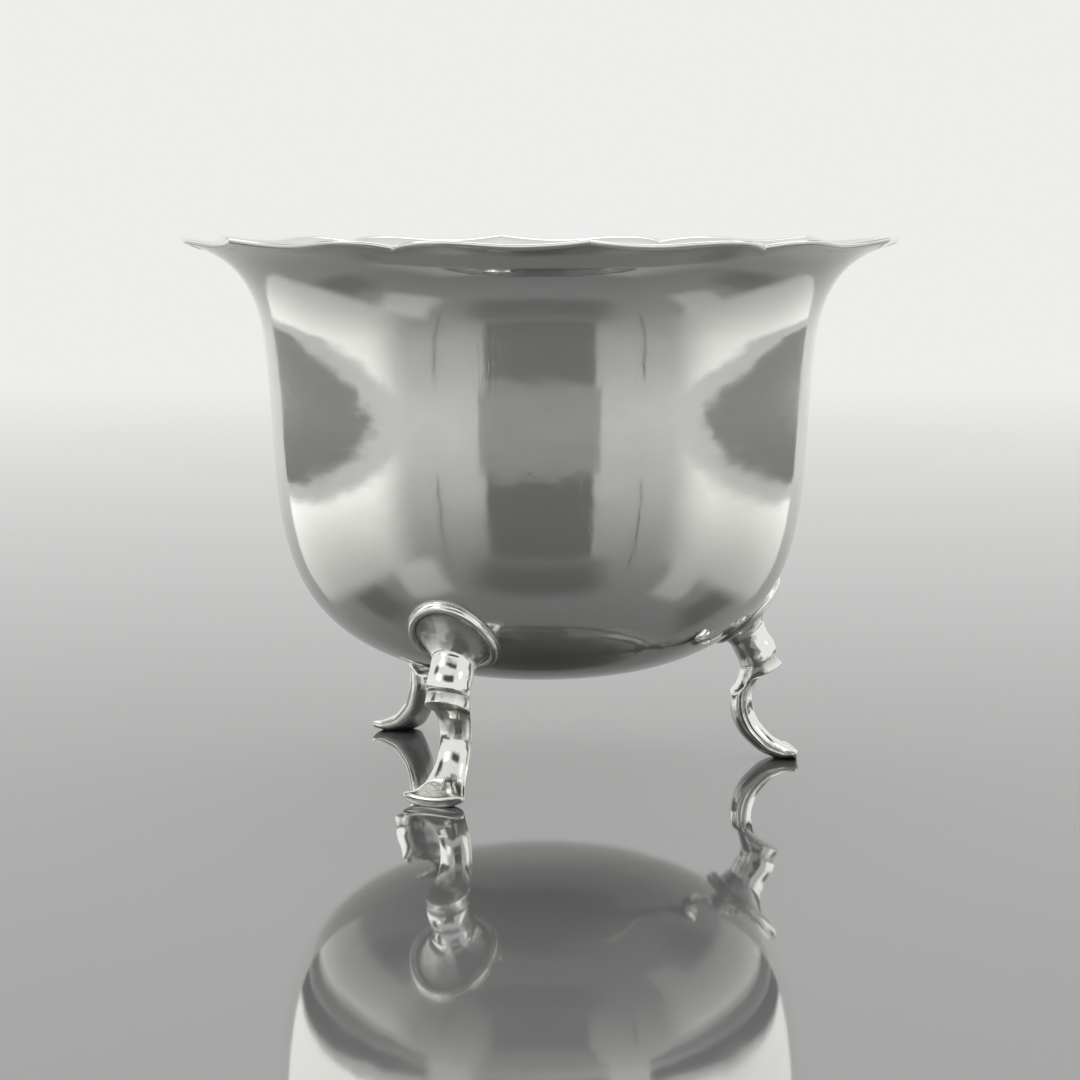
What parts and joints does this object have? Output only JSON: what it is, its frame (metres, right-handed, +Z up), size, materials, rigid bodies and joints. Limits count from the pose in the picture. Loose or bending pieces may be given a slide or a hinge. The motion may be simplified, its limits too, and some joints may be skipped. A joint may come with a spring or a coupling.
{
  "type": "salt cellar",
  "caption": "Open silver salt cellar: a deep bell-shaped bowl with a wide pie-crust rim, standing on cast cabriole legs with padded knees and flared feet.",
  "frame": {"origin": "on the axis of the bowl, at the level of the table that the feet stand on", "axes": "+Z up along the axis of the bowl, -Y towards the front leg, +X to the right of it"},
  "size_m": [0.09, 0.088, 0.0661],
  "materials": {
    "silver_sheet": "mirror polished",
    "silver_wire": "mirror polished",
    "silver_casting": "polished",
    "silver_solder": "polished, a little dull"
  },
  "bodies": {
    "root": {"bowl": "silver_sheet", "rim_border": "silver_wire", "leg_front": "silver_casting", "leg_right": "silver_casting", "leg_left": "silver_casting", "solder_front": "silver_solder", "solder_right": "silver_solder", "solder_left": "silver_solder"}
  },
  "joints": []
}
